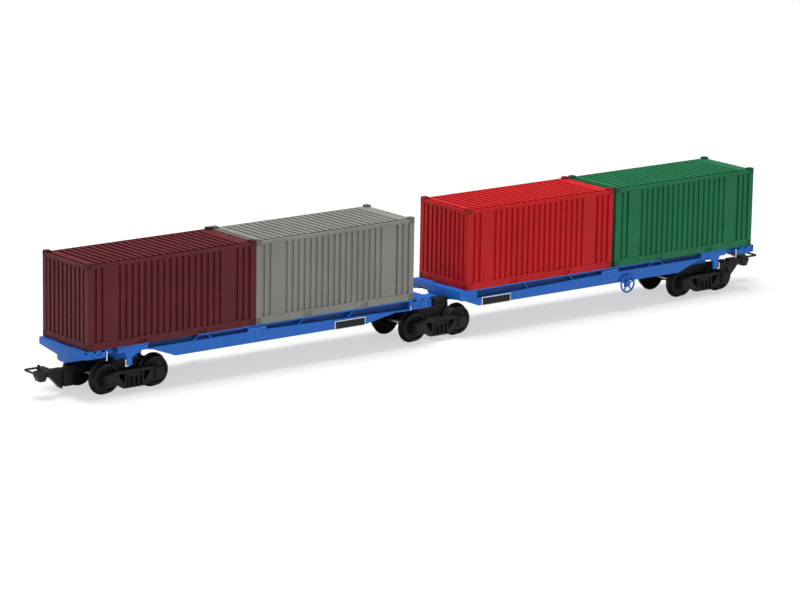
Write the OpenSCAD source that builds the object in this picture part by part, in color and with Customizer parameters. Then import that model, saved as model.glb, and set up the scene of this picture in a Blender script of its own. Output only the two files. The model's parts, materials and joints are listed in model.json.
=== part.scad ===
// Model of a two-unit articulated container flatcar, 1:87 scale, on 16.5 mm gauge.
// +X runs towards the outer end of unit B, +Z up. z = 0 is the lowest point of the
// wheel flanges, x = 0 is halfway between the coupler loops, y = 0 is the centre line.

/* [Containers] */
// Length of one container
box_l = 69.6; // [64:0.1:72]
// Width of one container
box_w = 28; // [26:0.1:30]
// Height of one container over its corner castings
box_h = 30.3; // [26:0.1:36]
// Thickness of a container's walls and floor
box_wall = 1.2; // [0.8:0.1:2]
// Length, width and height of a corner casting
casting = 2.2; // [1.8:0.1:2.6]
// Drop of the roof below the tops of the corner castings
roof_drop = 0.8; // [0.2:0.1:1]
// Gap across the articulation between the inner containers
inner_gap = 24.4; // [24:0.1:32]

/* [Underframes] */
// Height of the container bottoms above the wheel flanges
deck_z = 17.6; // [17.3:0.1:19.5]
// Depth of a side sill at mid-length
sill_depth = 6.2; // [5:0.1:6.6]
// Depth of a side sill at its inner end
sill_end_depth = 3.7; // [3:0.1:3.8]
// Thickness of the sheet-like webs, flanges and end sills
web = 1.0; // [0.8:0.1:1.4]
// Half width of the centre sill
spine_half = 4; // [3:0.1:5]
// Length of an outer corner pad
pad_l = 8.6; // [7:0.1:10]
// Number of pairs of crossbearers on a unit
bearer_count = 4; // [3:1:9]
// Diameter of a handwheel
handwheel_d = 7; // [5:0.1:7.4]

/* [Bogies] */
// Distance of an end bogie's centre from the outer end of unit A's deck
bogie_inset = 21.8; // [20.5:0.1:24]
// Distance of the middle bogie's centre, the articulation pivot, from x = 0
pivot_x = 2; // [1:0.1:3]
// Distance between a bogie's two axles
wheelbase = 20; // [18:0.1:21]
// Wheel tread diameter
tread_d = 10.5; // [9.5:0.1:11]
// Depth of the flange below the tread
flange_depth = 0.8; // [0.5:0.1:0.9]
// Distance between the backs of a wheelset's wheels
back_to_back = 14.4; // [14.2:0.1:14.6]
// Width of a wheel
wheel_w = 2.8; // [2.4:0.1:3]
// Axle diameter
axle_d = 1.5; // [1:0.1:2]
// Diameter of the axle journals
journal_d = 0.9; // [0.7:0.1:1.2]
// Kingpin diameter
kingpin_d = 2.4; // [2:0.1:3]
// Radial clearance of a running pin or journal
running = 0.05; // [0.02:0.01:0.08]
// Gap between pieces that turn against each other
turning_gap = 0.1; // [0.1:0.05:0.3]

/* [Couplers] */
// Distance from an end bogie's centre to the tip of its coupler loop
coupler_reach = 35.2; // [34:0.1:38]
// Half width of a coupler loop
loop_half = 3.5; // [3:0.1:4.2]
// Thickness of a coupler loop's wire
loop_wire = 0.7; // [0.5:0.1:1]

/* [Hidden] */
$fn = 48;

// Wheels and bogies
tread_r = tread_d / 2;
flange_r = tread_r + flange_depth;
axle_z = flange_r;
axle_r = axle_d / 2;
wheel_back = back_to_back / 2;
wheel_face = wheel_back + wheel_w;
frame_in = wheel_face + 0.3;
frame_t = 1.6;
frame_out = frame_in + frame_t;
journal_end = frame_out - 0.5;
journal_r = journal_d / 2;
kingpin_r = kingpin_d / 2;
block_half_x = 7.4;
block_half_y = wheel_back - 0.4;
block_bottom = axle_z - 1.85;
bolster_half_x = 3.1;
arm_x = [18.8, 22.2];
nest_half = bolster_half_x + 0.1;
nest_z = [2.7, 7.4];
spring_top = 5.9;
frame_z = [2.1, 8.5];

// Decks, from the top down
deck_half = box_w / 2;
sill_low = deck_z - sill_depth;
sill_shelf = deck_z - sill_end_depth;
apron_low = sill_shelf + 0.4;
apron_top = deck_z - 2;
spine_z = [deck_z - 3.9, deck_z - 0.3];
plate_z = [deck_z - 2.3, deck_z - 0.4];
web_in = deck_half - 2.6;
tongue_t = 1;
pivot_block_z = deck_z - 6.1;
tongue_a_z = pivot_block_z + turning_gap;
tongue_b_z = tongue_a_z + tongue_t + turning_gap;
end_block_z = deck_z - 6.5;

// Couplers
shank_z = [deck_z - 9.6, deck_z - 8];
loop_z = shank_z[1];

// Columns: name, side of x = 0, how far the deck reaches beyond its containers at
// the inner and at the outer end, distances from the deck's inner end to the start
// and the end of the sill's taper, distance from there to the sign,
// gap between the containers, bottom of the tongue, distance of the pivot,
// length of an inner pad
UNITS = [
    ["a", -1, 8.0, 1.3, 15.8, 29.5, 0.3, 0.3, tongue_a_z, -pivot_x, 9.7],
    ["b", 1, 2.9, 1.1, 2.2, 8.7, 1.4, 1.3, tongue_b_z, pivot_x, 8.0],
];
UNIT_A = UNITS[0];
UNIT_B = UNITS[1];
function side(u) = u[1];
function box_gap(u) = u[7];
function box_start(u, n) = inner_gap / 2 + n * (box_l + box_gap(u));
function inner_end(u) = inner_gap / 2 - u[2];
function outer_end(u) = box_start(u, 1) + box_l + u[3];
function taper_start(u) = inner_end(u) + u[4];
function taper_end(u) = inner_end(u) + u[5];
function sign_start(u) = taper_end(u) + u[6];
function tongue_z(u) = u[8];
function pivot(u) = u[9];
function inner_pad(u) = u[10];

// Places that both units share, as distances from x = 0
bogie_x = outer_end(UNIT_A) - bogie_inset;
plate_x = [bogie_x - 4.2, bogie_x + 8.3];
strut_x = [bogie_x + 2.4, bogie_x + 4.6];
belly_end = bogie_x - 15.6;
belly_rise = bogie_x - 5.0;
gap_x = [bogie_x - 25, bogie_x - 4.4];
mid_centre = inner_gap / 2 + box_l - 0.6;
mid_x = [mid_centre - 4, mid_centre + 4];
sign_l = 13.5;
sign_t = 0.3;
handwheel_x = mid_centre + 8.1;
handwheel_z = deck_z - 7;
bearers = [for (i = [1:bearer_count]) 20 + (belly_end - 22) * i / bearer_count];

// Centres of the three bogies, the top of each one's block,
// and the side its coupler points to (0 for none)
BOGIES = [
    [-bogie_x, end_block_z, -1],
    [pivot_x, pivot_block_z, 0],
    [bogie_x, end_block_z, 1],
];

// A box between limits on the three axes
module span(x, y, z) {
    translate([x[0], y[0], z[0]]) cube([x[1] - x[0], y[1] - y[0], z[1] - z[0]]);
}

// An outline in x and z, extruded across the model between two y limits
module across(y) {
    translate([0, y[1], 0]) rotate([90, 0, 0]) linear_extrude(y[1] - y[0]) children();
}

// An outline in y and z, extruded along the model between two x limits
module along(x) {
    translate([x[0], 0, 0]) rotate([90, 0, 90]) linear_extrude(x[1] - x[0]) children();
}

module both_sides() {
    children();
    mirror([0, 1, 0]) children();
}

module four_corners() {
    both_sides() {
        children();
        mirror([1, 0, 0]) children();
    }
}

// Moves what is drawn with x counted outwards from the middle onto its unit
module on_unit(u) {
    mirror([side(u) < 0 ? 1 : 0, 0, 0]) children();
}

// A round bar along y, between two y limits
module bar(r, y) {
    translate([0, y[1], 0]) rotate([90, 0, 0]) cylinder(r = r, h = y[1] - y[0]);
}

// Underframes

module spine(u) {
    color("royalblue") on_unit(u) difference() {
        union() {
            span([inner_end(u) + web, outer_end(u) - web], [-spine_half, spine_half], spine_z);
            across([-spine_half, spine_half]) polygon([
                [taper_start(u) + 4, spine_z[0]], [taper_end(u) + 4, sill_low],
                [belly_end - 4, sill_low], [belly_rise - 4, spine_z[0]]]);
            span([bogie_x - 4.6, bogie_x + 4.6], [-block_half_y, block_half_y],
                [end_block_z + turning_gap, spine_z[0] + 0.2]);
            span([bogie_x - bolster_half_x, bogie_x + bolster_half_x], [-web_in, web_in],
                [spine_z[0], plate_z[0]]);
            translate([0, 0, tongue_z(u)]) linear_extrude(tongue_t) tongue_outline(u);
            span([inner_end(u) + web, inner_end(u) + 3], [-3, 3], [tongue_z(u), spine_z[1]]);
        }
        translate([bogie_x, 0, end_block_z]) cylinder(r = kingpin_r, h = 2.2);
        translate([pivot(u), 0, tongue_z(u) - 1])
            cylinder(r = kingpin_r + (u == UNIT_B ? running : 0), h = tongue_t + 2);
    }
}

// The tongue that reaches from a deck's inner end over the middle bogie
module tongue_outline(u) {
    translate([pivot(u), 0]) circle(r = spine_half);
    translate([pivot(u), -spine_half]) square([inner_end(u) + 3 - pivot(u), 2 * spine_half]);
}

// Side sill: top flange, recessed web, and an apron that stands out below on a shelf
module side_sills(u) {
    start = inner_end(u) + inner_pad(u);
    rise = 0.6;
    color("royalblue") on_unit(u) both_sides() {
        across([web_in, web_in + web]) sill_band(u, start, deck_z, rise);
        across([web_in + web - 0.1, deck_half]) intersection() {
            sill_band(u, start, deck_z, rise);
            union() {
                translate([start, deck_z - 0.5]) square([gap_x[0] - start, 1]);
                translate([gap_x[1], deck_z - 0.5]) square([plate_x[1] - gap_x[1], 1]);
                sill_band(u, start, 0, rise);
            }
        }
        across([deck_half - web, deck_half]) apron(u, start);
        span(mid_x, [deck_half - web, deck_half], [sill_low + 0.9, deck_z - 0.7]);
    }
}

// Outline of the sill from the shelf up, or with top = 0 of the shelf alone
module sill_band(u, start, top, rise) {
    end = top > 0 ? plate_x[1] : plate_x[0];
    heads = top > 0 ? [[end, top], [start, top]]
        : [[end, apron_top], [mid_x[0], apron_top], [start, apron_low]];
    polygon(concat(heads, [[start, apron_low - rise], [mid_x[0], apron_top - rise],
        [belly_rise, apron_top - rise], [end, apron_top - rise / 2]]));
}

// Outline of the apron, which tapers at both ends
module apron(u, start) {
    polygon([[start, apron_low], [mid_x[0], apron_top], [plate_x[0], apron_top],
        [plate_x[0], plate_z[0]], [belly_rise, plate_z[0]], [belly_end, sill_low],
        [taper_end(u), sill_low], [taper_start(u), sill_shelf],
        [start, sill_shelf]]);
}

module crossbearers(u) {
    color("royalblue") on_unit(u) both_sides() {
        for (x = bearers) span([x, x + web], [spine_half, web_in], [sill_shelf, spine_z[1]]);
    }
}

module outer_end_sill(u) {
    edge_z = deck_z - 2.5;
    low = sill_low + 0.2;
    color("royalblue") on_unit(u) {
        along([outer_end(u) - web, outer_end(u)]) mirror([side(u) > 0 ? 1 : 0, 0]) polygon([
            [-deck_half, deck_z], [deck_half, deck_z], [deck_half, edge_z],
            [3, (edge_z + low) / 2 + 0.2], [3, low + 0.5], [1.8, low], [-2.2, low],
            [-deck_half, edge_z]]);
        both_sides() {
            span([outer_end(u) - pad_l, outer_end(u) - web], [spine_half, deck_half],
                [deck_z - 1.2, deck_z]);
            span([outer_end(u) - pad_l, outer_end(u) - web], [deck_half - 3, deck_half],
                [deck_z - 2.8, deck_z - 1.2]);
            span([plate_x[1], outer_end(u) - pad_l], [web_in - web, web_in],
                [plate_z[0], deck_z]);
        }
    }
}

module inner_end_sill(u) {
    edge_z = sill_shelf;
    pad_x = [inner_end(u) + web, inner_end(u) + inner_pad(u)];
    color("royalblue") on_unit(u) {
        along([inner_end(u), inner_end(u) + web]) difference() {
            mirror([side(u) < 0 ? 1 : 0, 0]) polygon([
                [-deck_half, deck_z], [deck_half, deck_z], [deck_half, edge_z], [12.6, edge_z],
                [10, deck_z - 2.5], [5.8, deck_z - 2.5], [spine_half + 0.6, edge_z - 0.4],
                [spine_half + 0.2, deck_z - 4.8], [-spine_half - 0.2, deck_z - 4.8],
                [-8, edge_z - 0.2], [-deck_half, deck_z - 3.1]]);
            translate([-spine_half, tongue_z(u)]) square([2 * spine_half, tongue_t]);
            translate([-spine_half, 0]) square([2 * spine_half, tongue_z(u) + tongue_t / 2]);
        }
        both_sides() {
            span(pad_x, [spine_half, deck_half], [deck_z - 1.2, deck_z]);
            span(pad_x, [web_in, deck_half], [edge_z, deck_z - 1.2]);
        }
    }
}

// Black block beside unit B's tongue, over the shoulder of the middle bogie
module saddle() {
    color("dimgray") difference() {
        span([pivot_x + 1.2, inner_end(UNIT_B)], [-block_half_y, 1 - spine_half],
            [tongue_b_z, deck_z - 3.1]);
        span([0, inner_end(UNIT_B) + 1], [-spine_half, 0], [0, tongue_b_z + tongue_t]);
    }
}

// Number plates over the end bogies, each with the strut of its step below
module number_plates(u) {
    color("royalblue") on_unit(u) both_sides() {
        span(plate_x, [deck_half - 0.5, deck_half], [plate_z[0], deck_z - 0.5]);
        across([deck_half - web, deck_half]) polygon([
            [strut_x[0] - 2.6, plate_z[0]], [strut_x[1] + 0.8, plate_z[0]],
            [strut_x[1], deck_z - 4.4], [strut_x[1], deck_z - 7],
            [strut_x[0], deck_z - 7], [strut_x[0], deck_z - 4.4]]);
    }
}

module signs(u) {
    color("black") on_unit(u) both_sides() {
        span([sign_start(u), sign_start(u) + sign_l], [deck_half, deck_half + sign_t],
            [sill_low - 0.2, deck_z - 3.3]);
    }
}

// Spoked handwheel on a bracket under the sill, on one side of the unit only
module handwheel(u) {
    rim = 0.35;
    hub_r = 1.2;
    bracket_y = [deck_half, deck_half + 0.4];
    color("royalblue") on_unit(u) mirror([0, side(u) > 0 ? 1 : 0, 0])
        translate([handwheel_x, 0, handwheel_z]) {
            translate([0, bracket_y[1] + rim, 0]) rotate([90, 0, 0]) {
                rotate_extrude() translate([handwheel_d / 2 - rim, 0]) circle(r = rim);
                for (i = [0:4]) rotate([0, 0, 72 * i + 18]) rotate([0, 90, 0])
                    cylinder(r = rim - 0.06, h = handwheel_d / 2 - rim);
            }
            bar(hub_r, [bracket_y[1], bracket_y[1] + 2 * rim]);
            span([-hub_r, hub_r], bracket_y, [-hub_r, deck_z - sill_end_depth - handwheel_z]);
        }
}

// Containers, n = 0 for the inner and 1 for the outer one

module container_shell(u, n) {
    roof = box_h - roof_drop;
    color(container_colour(u, n)) on_unit(u) translate([box_start(u, n), 0, deck_z]) {
        difference() {
            span([0, box_l], [-deck_half, deck_half], [0, roof]);
            span([box_wall, box_l - box_wall], [-deck_half + box_wall, deck_half - box_wall],
                [-1, roof - box_wall]);
        }
        translate([box_l / 2, 0, 0]) four_corners()
            span([box_l / 2 - casting, box_l / 2], [deck_half - casting, deck_half],
                [box_h - casting, box_h]);
    }
}

function container_colour(u, n) = u == UNIT_A ? (n == 0 ? "gray" : "maroon")
    : (n == 0 ? "firebrick" : "seagreen");

module container_floor(u, n) {
    color("dimgray") on_unit(u) translate([box_start(u, n), 0, deck_z])
        span([box_wall, box_l - box_wall], [-deck_half + box_wall, deck_half - box_wall],
            [0, box_wall]);
}

// Bogies

// Bolster with the centre block that carries the deck, and on an end bogie
// the arm and cross plate that carry the coupler
module bolster(b) {
    color("dimgray") translate([b[0], 0, 0]) difference() {
        union() {
            both_sides() span([-bolster_half_x, bolster_half_x], [block_half_y - 0.5, frame_in],
                [nest_z[0] + turning_gap, frame_z[1] - 0.5]);
            if (b[2] == 0) both_sides() span([1, block_half_x],
                [spine_half + 0.2, block_half_y], [b[1] - 0.1, tongue_b_z - turning_gap]);
            span([-bolster_half_x, bolster_half_x], [-frame_out + 0.4, frame_out - 0.4],
                [spring_top, nest_z[1] - 0.1]);
            span([-block_half_x, block_half_x], [-block_half_y, block_half_y],
                [block_bottom, b[1]]);
            if (b[2] != 0) mirror([b[2] < 0 ? 1 : 0, 0, 0]) {
                span([block_half_x - 1, arm_x[1]], [-2.2, 2.2], [axle_z + 1.2, shank_z[1] - 0.5]);
                span(arm_x, [-2.3, 2.3], [3.4, shank_z[1] - 0.5]);
            }
        }
        cylinder(r = kingpin_r + running, h = 30, center = true);
    }
}

// The two cast side frames of a bogie, with their springs and axle bearings
module sideframes(b) {
    color("dimgray") translate([b[0], 0, 0]) both_sides() difference() {
        union() {
            difference() {
                across([frame_in, frame_out]) sideframe_outline();
                span([-nest_half, nest_half], [0, 20], nest_z);
            }
            for (x = [-2, 0, 2]) translate([x, frame_in + frame_t / 2, nest_z[0]])
                cylinder(r = 0.7, h = spring_top - nest_z[0]);
            for (x = [-1, 1]) translate([x * wheelbase / 2, 0, axle_z])
                bar(1.7, [frame_out - 0.1, frame_out + 0.7]);
        }
        for (x = [-1, 1]) translate([x * wheelbase / 2, 0, axle_z])
            bar(journal_r + running, [frame_in - 1, journal_end + turning_gap]);
    }
}

module sideframe_outline() {
    reach = wheelbase / 2 + 2.3;
    difference() {
        for (m = [0, 1]) mirror([m, 0]) polygon([
            [0, frame_z[0]], [4.3, frame_z[0]], [6.6, 3.5], [reach - 1.1, 3.3], [reach, 4.5],
            [reach, 7.9], [reach - 2.2, 8.3], [6.5, frame_z[1]], [0, frame_z[1]]]);
        for (m = [0, 1]) mirror([m, 0]) polygon([
            [3.8, 4], [4.4, 4], [6.5, 6.8], [6.5, 7.4], [3.8, 7.3]]);
    }
}

// Screw that holds a bogie under its deck
module kingpin(b) {
    top = b[2] == 0 ? tongue_b_z + tongue_t : end_block_z + 2.2;
    color("silver") translate([b[0], 0, 0]) {
        translate([0, 0, block_bottom - 0.9]) cylinder(r = 2.1, h = 0.8);
        translate([0, 0, block_bottom - 0.5]) cylinder(r = kingpin_r, h = top - block_bottom + 0.5);
    }
}

// Wheelsets, numbered along +X, two to a bogie

function wheelset_x(i) = BOGIES[floor((i - 1) / 2)][0] + wheelbase / 2 * ((i % 2) * -2 + 1);

module wheels(i) {
    color("dimgray") translate([wheelset_x(i), 0, axle_z]) both_sides()
        translate([0, wheel_back, 0]) rotate([-90, 0, 0]) rotate_extrude() polygon([
            [axle_r, 0], [flange_r - 0.3, 0], [flange_r, 0.25], [flange_r, 0.45],
            [tread_r, 0.9], [tread_r - 0.1, wheel_w], [tread_r - 1, wheel_w],
            [tread_r - 1.2, wheel_w - 0.7], [1.9, wheel_w - 0.7], [1.7, wheel_w],
            [axle_r, wheel_w]]);
}

module axle(i) {
    color("silver") translate([wheelset_x(i), 0, axle_z]) {
        bar(axle_r, [-wheel_face - 0.1, wheel_face + 0.1]);
        bar(journal_r, [-journal_end, journal_end]);
    }
}

// Couplers, at end e = -1 or 1

module at_coupler(e) {
    mirror([e < 0 ? 1 : 0, 0, 0]) translate([bogie_x, 0, 0]) children();
}

// Shank with its deep web and trip arm, and the hook block with its upright prong
module coupler_hook(e) {
    prong_x = coupler_reach - 4.1;
    block = coupler_reach - 6.6;
    color("black") at_coupler(e) {
        across([-1.2, 1.2]) polygon([
            [arm_x[1], shank_z[1]], [block + 1, shank_z[1]], [block + 1, shank_z[0] - 0.6],
            [block - 1.5, shank_z[0] - 0.9], [arm_x[1] + 0.6, 2.6], [arm_x[1], 2.6]]);
        across([-1.5, 1.5]) polygon([
            [block, shank_z[1]], [block + 3.6, shank_z[1]], [block + 3.9, shank_z[1] - 1.6],
            [block + 2.9, shank_z[0] - 2], [block + 0.8, shank_z[0] - 2], [block, shank_z[0] - 0.6]]);
        span([prong_x - 0.4, prong_x + 0.4], [-0.4, 0.4], [shank_z[0], shank_z[1] + 2.2]);
    }
}

// Horizontal squarish loop that lies on the shank
module coupler_loop(e) {
    color("black") at_coupler(e) translate([0, 0, loop_z]) linear_extrude(loop_wire) difference() {
        loop_outline(0);
        loop_outline(loop_wire);
    }
}

// Outline of the loop, or with inset = loop_wire of the space in it, which leaves
// the loop's back as a plate that reaches up to the prong
module loop_outline(inset) {
    corner = 1.2;
    half = loop_half - corner;
    end = coupler_reach - corner;
    back = coupler_reach - (inset > 0 ? 4.6 : 8);
    translate([back, -loop_half + inset]) square([end - back, 2 * (loop_half - inset)]);
    translate([end - 1, -half]) square([1 + corner - inset, 2 * half]);
    for (y = [-half, half]) translate([end, y]) circle(r = corner - inset);
}

spine(UNIT_A);  // spine_a
side_sills(UNIT_A);  // side_sills_a
crossbearers(UNIT_A);  // crossbearers_a
outer_end_sill(UNIT_A);  // outer_end_sill_a
inner_end_sill(UNIT_A);  // inner_end_sill_a
number_plates(UNIT_A);  // number_plates_a
signs(UNIT_A);  // signs_a
handwheel(UNIT_A);  // handwheel_a
spine(UNIT_B);  // spine_b
side_sills(UNIT_B);  // side_sills_b
crossbearers(UNIT_B);  // crossbearers_b
outer_end_sill(UNIT_B);  // outer_end_sill_b
inner_end_sill(UNIT_B);  // inner_end_sill_b
number_plates(UNIT_B);  // number_plates_b
signs(UNIT_B);  // signs_b
handwheel(UNIT_B);  // handwheel_b
saddle();  // saddle_b
container_shell(UNIT_A, 1);  // container_1_shell
container_floor(UNIT_A, 1);  // container_1_floor
container_shell(UNIT_A, 0);  // container_2_shell
container_floor(UNIT_A, 0);  // container_2_floor
container_shell(UNIT_B, 0);  // container_3_shell
container_floor(UNIT_B, 0);  // container_3_floor
container_shell(UNIT_B, 1);  // container_4_shell
container_floor(UNIT_B, 1);  // container_4_floor
bolster(BOGIES[0]);  // bolster_1
sideframes(BOGIES[0]);  // sideframes_1
bolster(BOGIES[1]);  // bolster_2
sideframes(BOGIES[1]);  // sideframes_2
bolster(BOGIES[2]);  // bolster_3
sideframes(BOGIES[2]);  // sideframes_3
kingpin(BOGIES[0]);  // kingpin_1
kingpin(BOGIES[1]);  // kingpin_2
kingpin(BOGIES[2]);  // kingpin_3
wheels(1);  // wheels_1
axle(1);  // axle_1
wheels(2);  // wheels_2
axle(2);  // axle_2
wheels(3);  // wheels_3
axle(3);  // axle_3
wheels(4);  // wheels_4
axle(4);  // axle_4
wheels(5);  // wheels_5
axle(5);  // axle_5
wheels(6);  // wheels_6
axle(6);  // axle_6
coupler_hook(-1);  // coupler_hook_1
coupler_loop(-1);  // coupler_loop_1
coupler_hook(1);  // coupler_hook_2
coupler_loop(1);  // coupler_loop_2
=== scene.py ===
"""Looks of the articulated model container flatcar: mouldings, containers, bogies and couplers."""

import json
import math

import bmesh
import bpy
from mathutils import Matrix, Vector


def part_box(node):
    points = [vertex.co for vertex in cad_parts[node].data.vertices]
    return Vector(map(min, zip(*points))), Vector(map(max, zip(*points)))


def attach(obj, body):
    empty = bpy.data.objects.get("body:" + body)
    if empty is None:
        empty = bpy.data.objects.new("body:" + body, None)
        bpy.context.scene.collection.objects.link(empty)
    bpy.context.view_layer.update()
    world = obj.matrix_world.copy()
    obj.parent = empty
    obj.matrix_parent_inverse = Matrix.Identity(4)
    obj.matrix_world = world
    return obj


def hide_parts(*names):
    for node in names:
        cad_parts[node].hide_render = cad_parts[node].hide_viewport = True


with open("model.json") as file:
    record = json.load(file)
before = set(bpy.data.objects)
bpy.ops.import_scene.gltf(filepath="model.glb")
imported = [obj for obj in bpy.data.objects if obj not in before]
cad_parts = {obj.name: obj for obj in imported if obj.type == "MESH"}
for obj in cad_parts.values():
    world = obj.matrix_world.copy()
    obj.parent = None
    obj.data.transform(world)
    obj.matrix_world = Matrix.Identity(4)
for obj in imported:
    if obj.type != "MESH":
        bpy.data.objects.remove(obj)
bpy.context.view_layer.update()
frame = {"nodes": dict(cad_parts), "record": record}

MM = 0.001
X, Y, Z = Vector((1, 0, 0)), Vector((0, 1, 0)), Vector((0, 0, 1))

# Camera: where it looks, and its place round that point
CAMERA_TARGET = Vector((-7.4, 0, 14.1)) * MM
CAMERA_AZIMUTH = math.radians(-38.11)
CAMERA_ELEVATION = math.radians(13.19)
CAMERA_ROLL = math.radians(0.98)
CAMERA_DISTANCE = 1391 * MM
CAMERA_LENS = 172.7

# Pressed sheets of a container, as distances from its -X end or its middle
GROOVE_WIDTH = 1.15 * MM
GROOVE_DEPTH = 0.55 * MM
GROOVE_SLOPE = 0.15 * MM
ROOF_GROOVE_WIDTH = 1.35 * MM
SIDE_PITCH = 2.59 * MM
SIDE_GROOVES = [3.35 * MM, 5.95 * MM] + [13.1 * MM + n * SIDE_PITCH for n in range(17)] \
    + [(61.8 + 2.6 * n) * MM for n in range(3)]
ROOF_GROOVES = [(5.7 + 2.87 * n) * MM for n in range(21)]
END_GROOVES = [(-11.3 + 2.59 * n) * MM for n in range(10)]
FORK_POCKETS = [22.2 * MM, 47.4 * MM]
BOTTOM_RAIL = 2.6 * MM
TOP_RAIL = 1.2 * MM
ROOF_DROP = 0.8 * MM
CASTING = 2.3 * MM
SHEET = 0.9 * MM
FLUSH = 0.1 * MM
CORNER_POST = 2.0 * MM
PANEL_DROP = 0.16 * MM
PANEL_EDGE = 0.04 * MM
RAIL_BAND = (0.35 * MM, 1.9 * MM)
ROOF_RIM = 0.9 * MM
POCKET_HALF = 1.65 * MM
POCKET_SLOPE = 0.1 * MM
POCKET_DEPTH = 0.4 * MM

# Doors of a container, as distances from the bottom of the door leaves or from the middle
DOOR_POST = 1.7 * MM
DOOR_SILL = 1.7 * MM
DOOR_DEPTH = 0.55 * MM
DOOR_RODS = [-9.3 * MM, -4.0 * MM, 4.0 * MM, 9.3 * MM]
ROD_RADIUS = 0.22 * MM
LEAF_BANDS = [0.4 * MM, 5.6 * MM, 12.2 * MM, 18.8 * MM, 25.2 * MM]
LEAF_BAND_HALF = 0.45 * MM
LEAF_EDGE = 1.1 * MM

# Number, body and colour of each container
CONTAINERS = [
    (1, "deck_a", "maroon"), (2, "deck_a", "grey"), (3, "deck_b", "red"), (4, "deck_b", "green")]

# Letter, outward direction, body and inner container of each unit
UNITS = [("a", -1, "deck_a", 2), ("b", 1, "deck_b", 3)]
SIDES = (-1, 1)
DECK_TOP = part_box("container_1_shell")[0].z
MID_BLOCK_INSET = 0.6 * MM
IRON_RADIUS = 0.19 * MM
IRON_STAND_OFF = 0.12 * MM
IRON_ROOT = 0.5 * MM

# How squarely a face must look along an axis, and how near a place counts as there
SQUARE = 0.9
NEAR = 0.1 * MM

# Looks that several finishes share
UNDERFRAME_BLUE = (0.013, 0.118, 0.47)
UNDERFRAME_ROUGHNESS = 0.42
MATT_ROUGHNESS = 0.48
SPECULAR = 0.2
FLOW_SIZE = 14 * MM
GRAIN_SIZE = 0.16 * MM
GRAIN_STRENGTH = 0.25
GRAIN_HEIGHT = 0.02 * MM
# Painted shade: the corner castings take their container's colour times this factor, standing in
# for the shade in their slots
CASTING_PAINTED_SHADE = 0.55
# Painted shade in the recess behind the side sills' aprons: the colour factor, and how far behind
# the outer face it reaches
RECESS_PAINTED_SHADE = 0.35
RECESS_DEPTH = 1.6 * MM

# Lamps: name, place, size in metres and power in watts
LAMPS = [
    ("top_lamp", Vector((-0.1, 0.1, 1.3)), 0.7, 22),
    ("key_lamp", Vector((-0.8, -0.9, 0.8)), 0.6, 3),
    ("fill_lamp", Vector((0.5, -1.3, 0.4)), 0.8, 1.5)]
WORLD_LIGHT = 0.3
FLOOR_WHITE_NEAR, FLOOR_WHITE_GAIN = 0.58, 0.42


# Shader maths

class Value:
    """A socket of a material's nodes. Arithmetic on it adds Math nodes."""

    def __init__(self, recipe, socket):
        self.recipe = recipe
        self.socket = socket

    def math(self, operation, *operands):
        inputs = dict(enumerate(operands))
        return self.recipe.node("ShaderNodeMath", {"operation": operation}, inputs)

    def __add__(self, other):
        return self.math("ADD", self, other)

    def __mul__(self, other):
        return self.math("MULTIPLY", self, other)

    __radd__ = __add__
    __rmul__ = __mul__

    def smooth(self, low, high):
        """0 below low, 1 above high, and a smooth rise between them."""
        return self.recipe.node(
            "ShaderNodeMapRange", {"interpolation_type": "SMOOTHSTEP"},
            {"Value": self, "From Min": low, "From Max": high})


class Recipe:
    """A new material and the nodes that it is made of."""

    def __init__(self, name):
        self.material = bpy.data.materials.new(name)
        self.material.use_nodes = True
        self.tree = self.material.node_tree
        self.shader = self.tree.nodes["Principled BSDF"]
        self.place = self.node("ShaderNodeTexCoord", {}, {}, "Object")

    def node(self, kind, settings, inputs, output=0):
        made = self.tree.nodes.new(kind)
        for key, setting in settings.items():
            setattr(made, key, setting)
        for key, given in inputs.items():
            self.feed(made.inputs[key], given)
        return Value(self, made.outputs[output])

    def feed(self, socket, given):
        if isinstance(given, Value):
            self.tree.links.new(given.socket, socket)
        else:
            socket.default_value = given

    def noise(self, size, detail):
        """Noise whose blobs are about that size, in metres, from 0 to 1."""
        return self.node(
            "ShaderNodeTexNoise", {"noise_dimensions": "3D"},
            {"Vector": self.place, "Scale": 1 / size, "Detail": detail, "Roughness": 0.5})

    def blend(self, factor, first, second):
        """A mix of two colours."""
        mix = self.tree.nodes.new("ShaderNodeMix")
        mix.data_type = "RGBA"
        self.feed(mix.inputs[0], factor)
        self.feed(mix.inputs[6], first)
        self.feed(mix.inputs[7], second)
        return Value(self, mix.outputs[2])

    def finish(self, **sockets):
        """Sets the shader's sockets: a word such as Base_Color names the socket Base Color."""
        for key, given in sockets.items():
            self.feed(self.shader.inputs[key.replace("_", " ")], given)
        return self.material

    def bump(self, height, strength, distance):
        return self.node(
            "ShaderNodeBump", {},
            {"Height": height, "Strength": strength, "Distance": distance}, "Normal")

    def flow_marks(self, colour):
        """The flow noise of a moulding, and the faint tones that it gives a colour."""
        flow = self.noise(FLOW_SIZE, 3.0)
        return flow, self.blend(flow.smooth(0.3, 0.7), shade(colour, 0.93), shade(colour, 1.06))

    def grain(self):
        """The fine grain of moulded plastic."""
        return self.bump(self.noise(GRAIN_SIZE, 3.0), GRAIN_STRENGTH, GRAIN_HEIGHT)


def shade(colour, factor):
    return (*(channel * factor for channel in colour), 1)


def moulded_plastic(name, colour, roughness):
    """Injection-moulded plastic: faint flow marks, a fine grain and a few duller patches."""
    recipe = Recipe(name)
    flow, tone = recipe.flow_marks(colour)
    speckle = recipe.noise(0.35 * MM, 2.0)
    tone = recipe.blend(speckle.smooth(0.55, 0.8) * 0.25, tone, shade(colour, 1.25))
    dull = recipe.noise(4 * MM, 4.0).smooth(0.35, 0.75)
    return recipe.finish(
        Base_Color=tone, Roughness=dull * 0.12 + roughness, Specular_IOR_Level=SPECULAR,
        Normal=recipe.grain())


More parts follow.
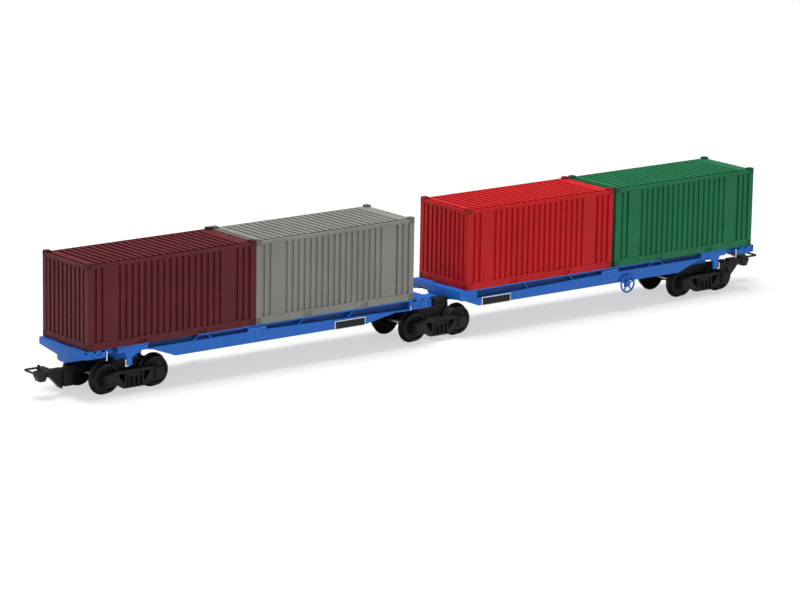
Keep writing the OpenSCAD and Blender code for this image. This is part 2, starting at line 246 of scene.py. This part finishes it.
def sill_plastic_painted_shade(name, colour, roughness):
    """Moulded plastic with painted shade in the recess behind a sill's apron, where the colour is
    multiplied by a shade factor.
    """
    recipe = Recipe(name)
    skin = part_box("side_sills_a")[1].y
    across = recipe.node("ShaderNodeSeparateXYZ", {}, {"Vector": recipe.place}, "Y")
    flow, tone = recipe.flow_marks(colour)
    # Painted shade mask: 0 in the recess behind the apron, where the shaded colour is used, and 1
    # on the outer face
    outer = across.math("ABSOLUTE", across).smooth(skin - RECESS_DEPTH, skin - RECESS_DEPTH / 2)
    return recipe.finish(
        Base_Color=recipe.blend(outer, shade(colour, RECESS_PAINTED_SHADE), tone),
        Roughness=flow * 0.12 + roughness, Specular_IOR_Level=SPECULAR, Normal=recipe.grain())


def turned_steel(name):
    """Steel with fine rings round its axis, and a little tarnish."""
    recipe = Recipe(name)
    rings = recipe.noise(0.3 * MM, 2.0)
    tarnish = recipe.noise(1.5 * MM, 4.0).smooth(0.4, 0.7)
    return recipe.finish(
        Base_Color=recipe.blend(tarnish, (0.62, 0.6, 0.57, 1), (0.42, 0.4, 0.37, 1)),
        Metallic=1.0, Roughness=rings * 0.15 + 0.22,
        Normal=recipe.bump(rings, 0.2, 0.01 * MM))


# Modelling tools

def only(piece):
    """Makes a piece the one that is selected."""
    bpy.ops.object.select_all(action="DESELECT")
    piece.select_set(True)
    bpy.context.view_layer.objects.active = piece


class Editing:
    """A piece in edit mode, with the faces that pick() chooses selected."""

    def __init__(self, piece):
        self.piece = piece

    def __enter__(self):
        only(self.piece)
        bpy.ops.object.mode_set(mode="EDIT")
        bpy.ops.mesh.select_mode(type="FACE")
        return self

    def __exit__(self, *error):
        bpy.ops.object.mode_set(mode="OBJECT")

    def pick(self, test):
        bpy.ops.mesh.select_all(action="DESELECT")
        shape = bmesh.from_edit_mesh(self.piece.data)
        for face in shape.faces:
            if test(face.calc_center_median(), face.normal):
                face.select_set(True)
        bmesh.update_edit_mesh(self.piece.data)

    def slice(self, test, axis, places):
        """Cuts the faces that pass the test, across an axis, at each place."""
        for place in places:
            self.pick(test)
            bpy.ops.mesh.bisect(plane_co=axis * place, plane_no=axis)

    def press(self, test, slope, depth):
        """Sinks the picked faces, with walls that slope."""
        self.pick(test)
        bpy.ops.mesh.inset(thickness=slope, depth=-depth, use_even_offset=False)


def named(name):
    piece = bpy.context.object
    piece.name = piece.data.name = name
    bpy.ops.object.transform_apply(location=True, rotation=True, scale=True)
    return piece


def block(name, corner, opposite):
    """A cuboid between two opposite corners, given in either order."""
    low, high = Vector(map(min, corner, opposite)), Vector(map(max, corner, opposite))
    bpy.ops.object.select_all(action="DESELECT")
    bpy.ops.mesh.primitive_cube_add(size=1, location=(low + high) / 2)
    bpy.context.object.scale = high - low
    return named(name)


def rod(name, start, end, radius, sides=12):
    """A round bar between two points."""
    start, end = Vector(start), Vector(end)
    bpy.ops.object.select_all(action="DESELECT")
    bpy.ops.mesh.primitive_cylinder_add(
        vertices=sides, radius=radius, depth=(end - start).length, location=(start + end) / 2)
    bpy.context.object.rotation_euler = (end - start).to_track_quat("Z", "Y").to_euler()
    return named(name)


def ball(name, centre, radius, segments=10):
    bpy.ops.object.select_all(action="DESELECT")
    bpy.ops.mesh.primitive_uv_sphere_add(
        segments=segments, ring_count=segments // 2, radius=radius, location=centre)
    return named(name)


def coil(name, foot, radius, wire, height, turns):
    """A coil spring that stands on a point."""
    foot = Vector(foot)
    bpy.ops.object.select_all(action="DESELECT")
    bpy.ops.mesh.primitive_circle_add(
        vertices=8, radius=wire, fill_type="NGON", location=(radius, 0, 0),
        rotation=(math.radians(90), 0, 0))
    spring = named(name)
    modify(spring, "SCREW", axis="Z", angle=math.tau, steps=16, render_steps=16,
           screw_offset=height / turns, iterations=turns, use_merge_vertices=True)
    spring.data.transform(Matrix.Translation(foot))
    with Editing(spring) as edit:
        edit.pick(lambda centre, normal: True)
        bpy.ops.mesh.normals_make_consistent(inside=False)
    smooth(spring)
    return spring


def join(name, pieces):
    """Several pieces as one object."""
    only(pieces[0])
    for piece in pieces:
        piece.select_set(True)
    if len(pieces) > 1:
        bpy.ops.object.join()
    return named(name)


def modify(piece, kind, **settings):
    """Adds a modifier and applies it."""
    only(piece)
    modifier = piece.modifiers.new(kind.title(), kind)
    for key, setting in settings.items():
        setattr(modifier, key, setting)
    bpy.ops.object.modifier_apply(modifier=modifier.name)
    return piece


def soften(piece, width, segments=2):
    """Rounds a piece's sharp edges and shades its curved faces smooth."""
    modify(piece, "BEVEL", width=width, segments=segments, limit_method="ANGLE",
           angle_limit=math.radians(35), use_clamp_overlap=True, harden_normals=False)
    smooth(piece)
    return piece


def smooth(piece, angle=40):
    only(piece)
    bpy.ops.object.shade_smooth_by_angle(angle=math.radians(angle))


def copied(piece, name, shift=(0, 0, 0)):
    """A copy with its own mesh, moved in the mesh."""
    twin = piece.copy()
    twin.data = piece.data.copy()
    twin.name = twin.data.name = name
    bpy.context.scene.collection.objects.link(twin)
    twin.data.transform(Matrix.Translation(Vector(shift)))
    return twin


def cad_copy(node, name, width):
    """A copy of a CAD node with its seams merged, its flats made whole and its edges rounded."""
    piece = copied(frame["nodes"][node], name)
    piece.data.materials.clear()
    only(piece)
    bpy.ops.object.mode_set(mode="EDIT")
    bpy.ops.mesh.select_all(action="SELECT")
    bpy.ops.mesh.remove_doubles(threshold=0.002 * MM)
    bpy.ops.mesh.dissolve_limited(angle_limit=math.radians(1))
    bpy.ops.object.mode_set(mode="OBJECT")
    return soften(piece, width)


def facing(side):
    """A test for the faces that look outwards on one side of the wagon."""
    return lambda centre, normal: normal.y * side > SQUARE


def wear(piece, material, slot, body, *nodes):
    """Gives a finished piece its material and body, and hides the CAD nodes it stands for. Its slot
    argument is not used.
    """
    piece.data.materials.clear()
    piece.data.materials.append(material)
    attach(piece, body)
    if nodes:
        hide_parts(*nodes)


# Containers

def between(low, high):
    """A test for a value between two limits."""
    return lambda value: low < value < high


def near_any(places, width=GROOVE_WIDTH):
    """A test for a value within half a groove of one of the places."""
    return lambda value: any(abs(value - place) < width / 2 for place in places)


def groove_edges(places, width=GROOVE_WIDTH):
    return [place + half for place in places for half in (-width / 2, width / 2)]


def container_master():
    """The shell of container 1: ribbed sides, roof and front, with doors at the +X end."""
    low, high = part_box("container_1_shell")
    low, high = low + Vector((FLUSH, FLUSH, 0)), high - Vector((FLUSH, FLUSH, ROOF_DROP))
    shell = block("container_master", low, high)
    foot, brow = low.z + BOTTOM_RAIL, high.z - TOP_RAIL
    side_places = [low.x - FLUSH + place for place in SIDE_GROOVES]
    roof_places = [low.x - FLUSH + place for place in ROOF_GROOVES]
    pockets = [low.x - FLUSH + place for place in FORK_POCKETS]
    in_panel, in_side, in_end = between(foot, brow), near_any(side_places), near_any(END_GROOVES)
    in_roof = near_any(roof_places, ROOF_GROOVE_WIDTH)

    with Editing(shell) as edit:
        side = lambda centre, normal: abs(normal.y) > SQUARE
        rail_low, rail_high = (low.z + edge for edge in RAIL_BAND)
        edit.slice(side, Z, [rail_low, rail_high, foot, brow])
        tall = lambda centre, normal: side(centre, normal) and in_panel(centre.z)
        posts = [low.x + CORNER_POST, high.x - CORNER_POST]
        edit.slice(tall, X, posts)
        panel = lambda centre, normal: tall(centre, normal) and posts[0] < centre.x < posts[1]
        edit.press(panel, PANEL_EDGE, PANEL_DROP)
        edit.slice(panel, X, groove_edges(side_places))
        edit.press(lambda centre, normal: panel(centre, normal) and in_side(centre.x),
                   GROOVE_SLOPE, GROOVE_DEPTH)
        rail = lambda centre, normal: side(centre, normal) and rail_low < centre.z < rail_high
        edit.slice(rail, X, [place + half for place in pockets
                             for half in (-POCKET_HALF, POCKET_HALF)])
        edit.press(lambda centre, normal: rail(centre, normal)
                   and any(abs(centre.x - place) < POCKET_HALF for place in pockets),
                   POCKET_SLOPE, POCKET_DEPTH)

        top = lambda centre, normal: normal.z > SQUARE
        edit.slice(top, Y, [low.y + ROOF_RIM, high.y - ROOF_RIM])
        sheet = lambda centre, normal: top(centre, normal) and abs(centre.y) < high.y - ROOF_RIM
        edit.slice(sheet, X, groove_edges(roof_places, ROOF_GROOVE_WIDTH))
        edit.press(lambda centre, normal: sheet(centre, normal) and in_roof(centre.x),
                   GROOVE_SLOPE, GROOVE_DEPTH)

        front = lambda centre, normal: normal.x < -SQUARE
        edit.slice(front, Z, [foot, brow])
        wide = lambda centre, normal: front(centre, normal) and in_panel(centre.z)
        post = high.y - CORNER_POST
        edit.slice(wide, Y, [-post, post])
        face = lambda centre, normal: wide(centre, normal) and abs(centre.y) < post
        edit.press(face, PANEL_EDGE, PANEL_DROP)
        edit.slice(face, Y, groove_edges(END_GROOVES))
        edit.press(lambda centre, normal: face(centre, normal) and in_end(centre.y),
                   GROOVE_SLOPE, GROOVE_DEPTH)

        door_opening(edit, low, high)
        edit.pick(lambda centre, normal: normal.z < -SQUARE and centre.z < low.z + 0.01 * MM)
        bpy.ops.mesh.delete(type="FACE")
    modify(shell, "SOLIDIFY", thickness=SHEET, offset=-1, use_even_offset=True)
    soften(shell, 0.07 * MM, 2)
    return shell


def door_opening(edit, low, high):
    """The recess of the two door leaves, each with pressed panels."""
    back = lambda centre, normal: normal.x > SQUARE
    sill, header = low.z + DOOR_SILL, high.z - DOOR_SILL
    edge = high.y - DOOR_POST
    edit.slice(back, Z, [sill, header])
    edit.slice(back, Y, [-edge, edge])
    leaf = lambda centre, normal: back(centre, normal) and abs(centre.y) < edge \
        and sill < centre.z < header
    edit.press(leaf, 0.02 * MM, DOOR_DEPTH)
    edit.slice(leaf, Y, [-0.15 * MM, 0.15 * MM])
    edit.press(lambda centre, normal: leaf(centre, normal) and abs(centre.y) < NEAR,
               0.01 * MM, 0.2 * MM)
    panel = lambda centre, normal: leaf(centre, normal) and abs(centre.y) > 0.2 * MM
    edit.slice(panel, Y, [side * place for side in SIDES for place in (LEAF_EDGE, edge - MM)])
    bands = [sill + band for band in LEAF_BANDS]
    edit.slice(panel, Z, [band + half for band in bands
                          for half in (-LEAF_BAND_HALF, LEAF_BAND_HALF)])
    edit.pick(lambda centre, normal: panel(centre, normal)
              and LEAF_EDGE < abs(centre.y) < edge - MM
              and all(abs(centre.z - band) > 0.5 * MM for band in bands))
    bpy.ops.mesh.inset(thickness=0.12 * MM, depth=-0.2 * MM, use_individual=True)


def door_gear():
    """Lock rods, cams, handles and hinges of container 1."""
    low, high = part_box("container_1_shell")
    face = high.x - FLUSH - DOOR_DEPTH
    out = high.x - 0.03 * MM
    sill, header = low.z + DOOR_SILL, high.z - ROOF_DROP - DOOR_SILL
    pieces = []
    for place in DOOR_RODS:
        pieces.append(rod("lock_rod", (face + ROD_RADIUS, place, sill - 0.5 * MM),
                          (face + ROD_RADIUS, place, header + 0.5 * MM), ROD_RADIUS, 10))
        for height in (sill - 0.3 * MM, sill + 6 * MM, sill + 12.6 * MM, sill + 19.2 * MM,
                       header + 0.3 * MM):
            pieces.append(block(
                "rod_bracket", (face - 0.05 * MM, place - 0.5 * MM, height - 0.3 * MM),
                (out, place + 0.5 * MM, height + 0.3 * MM)))
        inner = -1 if place > 0 else 1
        pieces.append(block("rod_handle", (face + 0.2 * MM, place, sill + 9.0 * MM),
                            (out, place + inner * 2.6 * MM, sill + 9.4 * MM)))
    for side in SIDES:
        for height in (3, 9.6, 16.2, 22.8):
            y = side * (high.y - DOOR_POST)
            pieces.append(block("hinge", (face - 0.05 * MM, y - 0.8 * MM, sill + height * MM),
                                (out, y + 0.8 * MM, sill + (height + 0.8) * MM)))
    gear = join("container_1_door_gear", pieces)
    soften(gear, 0.05 * MM, 1)
    return gear


def corner_castings():
    """The eight corner castings of container 1, with their slots."""
    low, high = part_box("container_1_shell")
    pieces = []
    for x in (low.x, high.x - CASTING):
        for y in (low.y, high.y - CASTING):
            for z in (low.z, high.z - CASTING):
                casting = block("casting", (x, y, z), (x + CASTING, y + CASTING, z + CASTING))
                soften(casting, 0.28 * MM, 3)
                with Editing(casting) as edit:
                    outer = lambda centre, normal: (
                        abs(normal.x) > 0.99 and abs(centre.x) > abs(x + CASTING / 2)
                        or abs(normal.y) > 0.99 and abs(centre.y) > abs(y + CASTING / 2)
                        or normal.z > 0.99 and z > low.z + MM)
                    edit.pick(outer)
                    bpy.ops.mesh.inset(thickness=0.42 * MM, depth=0, use_individual=True)
                    bpy.ops.mesh.inset(thickness=0.05 * MM, depth=-0.9 * MM, use_individual=True)
                pieces.append(casting)
    return join("container_1_corner_castings", pieces)


def containers(materials):
    masters = [(container_master(), "ribbed_shell"), (corner_castings(), "corner_castings"),
               (door_gear(), "door_gear")]
    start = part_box("container_1_shell")[0]
    for number, body, colour in CONTAINERS:
        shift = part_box(f"container_{number}_shell")[0] - start
        slot = f"container_{colour}"
        for master, name in masters:
            piece = copied(master, f"container_{number}_{name}_piece", shift)
            stands_for = [f"container_{number}_shell"] if name == "ribbed_shell" else []
            # The corner castings take the copy of the colour with painted shade
            material = f"{slot}_dark" if name == "corner_castings" else slot
            wear(piece, materials[material], slot, body, *stands_for)
    for master, name in masters:
        bpy.data.objects.remove(master)


# Underframe details

def mid_block(outward, inner_box):
    """The place along the wagon of the middle of a unit's mid block."""
    low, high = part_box(f"container_{inner_box}_shell")
    return high.x - MID_BLOCK_INSET if outward > 0 else low.x + MID_BLOCK_INSET


def mid_panels(materials):
    """Two framed squares on each side of each unit's mid block."""
    for unit, outward, body, inner_box in UNITS:
        centre = mid_block(outward, inner_box)
        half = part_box(f"side_sills_{unit}")[1].y
        pieces = []
        for side in SIDES:
            front = facing(side)
            for offset in (-1.95 * MM, 1.95 * MM):
                x = centre + offset
                plate = block(
                    "square", (x - 1.6 * MM, side * (half - 0.2 * MM), DECK_TOP - 4.9 * MM),
                    (x + 1.6 * MM, side * (half + 0.18 * MM), DECK_TOP - 1.1 * MM))
                with Editing(plate) as edit:
                    edit.press(front, 0.45 * MM, 0)
                    edit.press(lambda centre, normal: front(centre, normal)
                               and abs(centre.x - x) < NEAR
                               and abs(centre.z - DECK_TOP + 3 * MM) < NEAR, 0.05 * MM, 0.3 * MM)
                pieces.append(plate)
        panels = soften(join(f"mid_panels_{unit}", pieces), 0.06 * MM, 2)
        # The squares take a lighter copy of the underframe blue, a painted highlight standing in
        # for light on their rims
        wear(panels, materials["underframe_painted_highlight"], "underframe_blue", body)


def signs(materials):
    """Blank black signs with a pale border."""
    for unit, _, body, _ in UNITS:
        low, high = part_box(f"signs_{unit}")
        inner, outer = high.y - 0.35 * MM, high.y - 0.05 * MM
        rim = 0.3 * MM
        plates, borders = [], []
        for side in SIDES:
            front = facing(side)
            plates.append(block("plate", (low.x + rim, side * inner, low.z + rim),
                                (high.x - rim, side * outer, high.z - rim)))
            border = block("border", (low.x, side * inner, low.z), (high.x, side * high.y, high.z))
            with Editing(border) as edit:
                edit.press(front, 0.34 * MM, 0)
                edit.press(lambda centre, normal: front(centre, normal)
                           and abs(centre.x - (low.x + high.x) / 2) < NEAR
                           and abs(centre.z - (low.z + high.z) / 2) < NEAR, 0.02 * MM, 0.2 * MM)
            borders.append(border)
        plate = soften(join(f"sign_plates_{unit}", plates), 0.04 * MM, 1)
        wear(plate, materials["sign_black"], "sign_black", body, f"signs_{unit}")
        border = soften(join(f"sign_borders_{unit}", borders), 0.04 * MM, 1)
        wear(border, materials["marking_white"], "sign_black", body)


def grab_irons(materials):
    """White grab irons at the outer corners and beside the steps."""
    for unit, outward, body, _ in UNITS:
        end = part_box(f"outer_end_sill_{unit}")
        tip = end[1].x if outward > 0 else end[0].x
        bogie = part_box("sideframes_3" if outward > 0 else "sideframes_1")
        centre = (bogie[0].x + bogie[1].x) / 2
        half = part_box(f"side_sills_{unit}")[1].y
        inner_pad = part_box(f"inner_end_sill_{unit}")
        pad_end = inner_pad[1].x if outward > 0 else inner_pad[0].x
        pieces = []
        for side in SIDES:
            y = side * (half + IRON_STAND_OFF)
            root = y - side * IRON_ROOT

            def bar(x, drops, foot=0.0):
                ends = [DECK_TOP - drop * MM for drop in drops]
                pieces.append(rod("iron", (x, y, ends[0]), (x, y, ends[1]), IRON_RADIUS))
                for z in ends:
                    pieces.append(rod("iron_root", (x, y, z), (x, root, z), IRON_RADIUS))
                for z in ends:
                    pieces.append(ball("iron_end", (x, y, z), IRON_RADIUS))
                if foot:
                    pieces.append(
                        rod("iron_foot", (x, y, ends[1]), (x + foot, y, ends[1]), IRON_RADIUS))
            bar(tip - outward * 9.0 * MM, (0.9, 3.8))
            bar(centre + outward * 5.1 * MM, (4.9, 7.0), -outward * 1.0 * MM)
            if unit == "a":
                bar(pad_end - outward * 0.4 * MM, (2.6, 3.6))
        irons = join(f"grab_irons_{unit}", pieces)
        smooth(irons)
        wear(irons, materials["marking_white"], "underframe_blue", body)


def pad_trim(materials):
    """The raised rim and the stake pockets on the outer sides of the corner pads."""
    for unit, outward, body, _ in UNITS:
        pads = [(f"outer_end_sill_{unit}", 1, 2.8 * MM)]
        if unit == "a":
            pads.append((f"inner_end_sill_{unit}", -1, 3.7 * MM))
        pieces = []
        for node, away, deep in pads:
            low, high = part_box(node)
            tip = high.x if outward * away > 0 else low.x
            inward = -outward * away
            half = high.y
            for side in SIDES:
                def raised(start, end, top, foot):
                    """A rib from start to end, in millimetres from the pad's tip."""
                    pieces.append(block(
                        "pad_rib",
                        (tip + inward * start * MM, side * (half - 0.2 * MM), DECK_TOP - foot),
                        (tip + inward * end * MM, side * (half + 0.3 * MM), DECK_TOP - top)))
                raised(0.1, 8.2, 0.1 * MM, 0.8 * MM)
                raised(0.1, 1.0, 0.1 * MM, deep - 0.2 * MM)
                raised(3.6, 4.6, 0.1 * MM, deep - 0.1 * MM)
                raised(4.6, 6.6, deep - 0.9 * MM, deep - 0.1 * MM)
                raised(6.6, 8.2, 0.1 * MM, deep - 0.7 * MM)
        trim = soften(join(f"pad_trim_{unit}", pieces), 0.08 * MM, 2)
        wear(trim, materials["underframe_blue"], "underframe_blue", body)


def sill_details(materials):
    """Sloping gussets in the side sills, under the containers."""
    for unit, outward, body, inner_box in UNITS:
        mid = mid_block(outward, inner_box)
        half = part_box(f"side_sills_{unit}")[1].y
        pieces = []
        for side in SIDES:
            for place, reach in ((24.6, 3.2), (21.4, -3.0), (-20, 2.2), (-42, 2.2)):
                x = mid + outward * place * MM
                gusset = block(
                    "gusset", (x - 0.25 * MM, side * (half - 1.9 * MM), DECK_TOP - 2.6 * MM),
                    (x + 0.25 * MM, side * (half - 0.15 * MM), DECK_TOP - 0.45 * MM))
                with Editing(gusset) as edit:
                    edit.pick(lambda centre, normal: normal.z < -SQUARE)
                    bpy.ops.transform.translate(value=(outward * reach * MM, 0, 0))
                pieces.append(gusset)
        gussets = soften(join(f"sill_gussets_{unit}", pieces), 0.06 * MM, 2)
        wear(gussets, materials["underframe_blue"], "underframe_blue", body)


# Bogie details

def wheelset_middle(number):
    low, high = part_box(f"wheels_{number}")
    return (low + high) / 2


def bogie_details(materials):
    """Axle covers, springs, bolster ends and rivets on the side frames."""
    for number in (1, 2, 3):
        low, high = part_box(f"sideframes_{number}")
        centre = (low.x + high.x) / 2
        axles = [wheelset_middle(2 * number - 1 + n) for n in (0, 1)]
        outer = high.y
        face = outer - 0.7 * MM
        pieces = []
        for side in SIDES:
            for axle in axles:
                pieces.append(axle_cover(axle, side, face, outer))
            for offset in (-2, 0, 2):
                foot = (centre + offset * MM, side * (face - 0.8 * MM), 2.85 * MM)
                pieces.append(coil("spring", foot, 0.66 * MM, 0.17 * MM, 2.9 * MM, 5))
            pieces.append(bolster_end(centre, side, face))
            pieces.append(nest_back(centre, side, low.z))
            for offsets, height, radius in (((-2.4, -1.2, 0, 1.2, 2.4), 8.0, 0.2),
                                            ((-6.9, 6.9), 7.9, 0.22)):
                for offset in offsets:
                    place = (centre + offset * MM, side * face, height * MM)
                    pieces.append(ball("rivet", place, radius * MM, 8))
        details = join(f"bogie_{number}_castings", pieces)
        smooth(details, 35)
        wear(details, materials["bogie_black"], "bogie_black", f"bogie_{number}")


def axle_cover(axle, side, face, outer):
    """The ribbed cover over an axle's end."""
    cover = block(
        "axle_cover", (axle.x - 1.95 * MM, side * (face - 0.1 * MM), axle.z - 1.9 * MM),
        (axle.x + 1.95 * MM, side * (outer - 0.02 * MM), axle.z + 1.85 * MM))
    front = facing(side)
    rib_low, rib_high = axle.z - 1.35 * MM, axle.z + 1.3 * MM
    with Editing(cover) as edit:
        edit.slice(front, Z, [rib_low, rib_high])
        edit.slice(front, X, [axle.x + place * MM for place in (-1.6, -0.9, -0.35, 0.35, 0.9, 1.6)])
        edit.pick(lambda centre, normal: front(centre, normal)
                  and rib_low < centre.z < rib_high
                  and any(abs(centre.x - axle.x - place * MM) < 0.2 * MM
                          for place in (-1.25, 0, 1.25)))
        bpy.ops.mesh.inset(thickness=0.05 * MM, depth=-0.55 * MM, use_individual=True)
    return soften(cover, 0.1 * MM, 2)


def nest_back(centre, side, foot):
    """The web behind a side frame's springs."""
    return block("nest_back", (centre - 3.3 * MM, side * 10.35 * MM, foot + 0.3 * MM),
                 (centre + 3.3 * MM, side * 10.6 * MM, foot + 5.5 * MM))


def bolster_end(centre, side, face):
    """The end of the bolster over the springs, with two pockets."""
    end = block("bolster_end", (centre - 2.7 * MM, side * (face - 0.9 * MM), 5.75 * MM),
                (centre + 2.7 * MM, side * (face - 0.1 * MM), 7.2 * MM))
    front = facing(side)
    with Editing(end) as edit:
        edit.slice(front, X, [centre])
        edit.pick(front)
        bpy.ops.mesh.inset(thickness=0.35 * MM, depth=-0.4 * MM, use_individual=True)
    return soften(end, 0.08 * MM, 2)


# Everything else: the CAD nodes, most of them with their edges rounded

PLAIN_NODES = ("handwheel", "axle", "kingpin")
EDGE_ROUNDING = 0.1 * MM
LOOP_ROUNDING = 0.2 * MM


def cad_pieces(materials):
    """Rounded copies of the moulded CAD nodes, and finishes for those that stay as they are."""
    record = frame["record"]
    slots = {entry["node"]: entry["material_slot"] for entry in record["subparts"]}
    for body, members in record["behaviour"]["bodies"].items():
        for node in members:
            if node.endswith("_shell") or node.startswith("signs"):
                continue
            slot = slots[node]
            if node.startswith(PLAIN_NODES) or node.endswith("_floor"):
                holder = frame["nodes"][node].data.materials
                holder.clear()
                holder.append(materials[slot])
                continue
            rounding = LOOP_ROUNDING if "loop" in node else EDGE_ROUNDING
            piece = cad_copy(node, f"{node}_rounded", rounding)
            # The side sills take the finish with painted shade in their recess
            material = "underframe_sill_painted_shade" if node.startswith("side_sills") else slot
            wear(piece, materials[material], slot, body, node)


# Studio

def studio():
    """Pale floor, soft lamps and the camera."""
    bpy.ops.object.select_all(action="DESELECT")
    bpy.ops.mesh.primitive_plane_add(size=12, location=(0, 0, 0))
    floor = named("studio_floor")
    recipe = Recipe("floor_pale")
    recipe.finish(Base_Color=(0.86, 0.86, 0.86, 1), Roughness=0.75)
    white = recipe.node("ShaderNodeEmission", {}, {"Color": (1, 1, 1, 1), "Strength": 1.0})
    rays = recipe.node("ShaderNodeLightPath", {}, {}, "Is Camera Ray")
    away = recipe.node("ShaderNodeVectorMath", {"operation": "LENGTH"}, {0: recipe.place}, "Value")
    mix = recipe.node("ShaderNodeMixShader", {}, {
        0: rays * (away.smooth(0.12, 0.6) * FLOOR_WHITE_GAIN + FLOOR_WHITE_NEAR),
        1: Value(recipe, recipe.shader.outputs[0]), 2: white})
    recipe.feed(recipe.tree.nodes["Material Output"].inputs["Surface"], mix)
    floor.data.materials.append(recipe.material)

    world = bpy.data.worlds.new("studio_world")
    bpy.context.scene.world = world
    world.use_nodes = True
    tree = world.node_tree
    background = tree.nodes["Background"]
    background.inputs["Color"].default_value = (1, 1, 1, 1)
    rays = tree.nodes.new("ShaderNodeLightPath")
    strength = tree.nodes.new("ShaderNodeMapRange")
    tree.links.new(rays.outputs["Is Camera Ray"], strength.inputs["Value"])
    strength.inputs["To Min"].default_value = WORLD_LIGHT
    strength.inputs["To Max"].default_value = 1.0
    tree.links.new(strength.outputs["Result"], background.inputs["Strength"])

    for settings in LAMPS:
        lamp(*settings)

    back = Vector((math.sin(CAMERA_AZIMUTH) * math.cos(CAMERA_ELEVATION),
                   -math.cos(CAMERA_AZIMUTH) * math.cos(CAMERA_ELEVATION),
                   math.sin(CAMERA_ELEVATION)))
    data = bpy.data.cameras.new("studio_camera")
    data.lens = CAMERA_LENS
    data.sensor_width = 36
    data.clip_start, data.clip_end = 0.01, 30
    camera = bpy.data.objects.new("studio_camera", data)
    bpy.context.scene.collection.objects.link(camera)
    turn = back.to_track_quat("Z", "Y") @ Matrix.Rotation(CAMERA_ROLL, 3, "Z").to_quaternion()
    camera.matrix_world = Matrix.Translation(CAMERA_TARGET + back * CAMERA_DISTANCE) \
        @ turn.to_matrix().to_4x4()
    bpy.context.scene.camera = camera
    bpy.context.scene.view_settings.view_transform = "Standard"


def lamp(name, place, size, power):
    """A square soft lamp that points at the object."""
    data = bpy.data.lights.new(name, "AREA")
    data.size = size
    data.energy = power
    holder = bpy.data.objects.new(name, data)
    bpy.context.scene.collection.objects.link(holder)
    turn = place.to_track_quat("Z", "Y")
    holder.matrix_world = Matrix.Translation(place) @ turn.to_matrix().to_4x4()


studio()
MATERIALS = {
    "underframe_blue": moulded_plastic(
        "underframe_blue_plastic", UNDERFRAME_BLUE, UNDERFRAME_ROUGHNESS),
    # A lighter copy of the underframe blue, a painted highlight, for the mid-block squares
    "underframe_painted_highlight": moulded_plastic(
        "underframe_edge_blue", (0.05, 0.19, 0.58), UNDERFRAME_ROUGHNESS),
    # Underframe blue with painted shade in the sill recess
    "underframe_sill_painted_shade": sill_plastic_painted_shade(
        "underframe_sill_plastic", UNDERFRAME_BLUE, UNDERFRAME_ROUGHNESS),
    "marking_white": moulded_plastic("marking_white_paint", (0.75, 0.76, 0.78), 0.5),
    "sign_black": moulded_plastic("sign_black_print", (0.01, 0.01, 0.012), 0.5),
    "bogie_black": moulded_plastic("bogie_black_plastic", (0.009, 0.009, 0.009), MATT_ROUGHNESS),
    "wheel_black": moulded_plastic("wheel_black_plastic", (0.009, 0.009, 0.01), 0.45),
    "coupler_black": moulded_plastic(
        "coupler_black_plastic", (0.016, 0.016, 0.017), MATT_ROUGHNESS),
    "steel": turned_steel("axle_steel"),
}
CONTAINER_COLOURS = {
    "maroon": (0.088, 0.007, 0.011), "grey": (0.2, 0.205, 0.184),
    "red": (0.44, 0.003, 0.006), "green": (0.005, 0.135, 0.05)}
for word, colour in CONTAINER_COLOURS.items():
    MATERIALS[f"container_{word}"] = moulded_plastic(
        f"container_{word}_plastic", colour, MATT_ROUGHNESS)
    # A copy of each colour with painted shade, for the corner castings
    MATERIALS[f"container_{word}_dark"] = moulded_plastic(
        f"container_{word}_castings", shade(colour, CASTING_PAINTED_SHADE)[:3], MATT_ROUGHNESS)
containers(MATERIALS)
mid_panels(MATERIALS)
signs(MATERIALS)
grab_irons(MATERIALS)
pad_trim(MATERIALS)
sill_details(MATERIALS)
bogie_details(MATERIALS)
cad_pieces(MATERIALS)
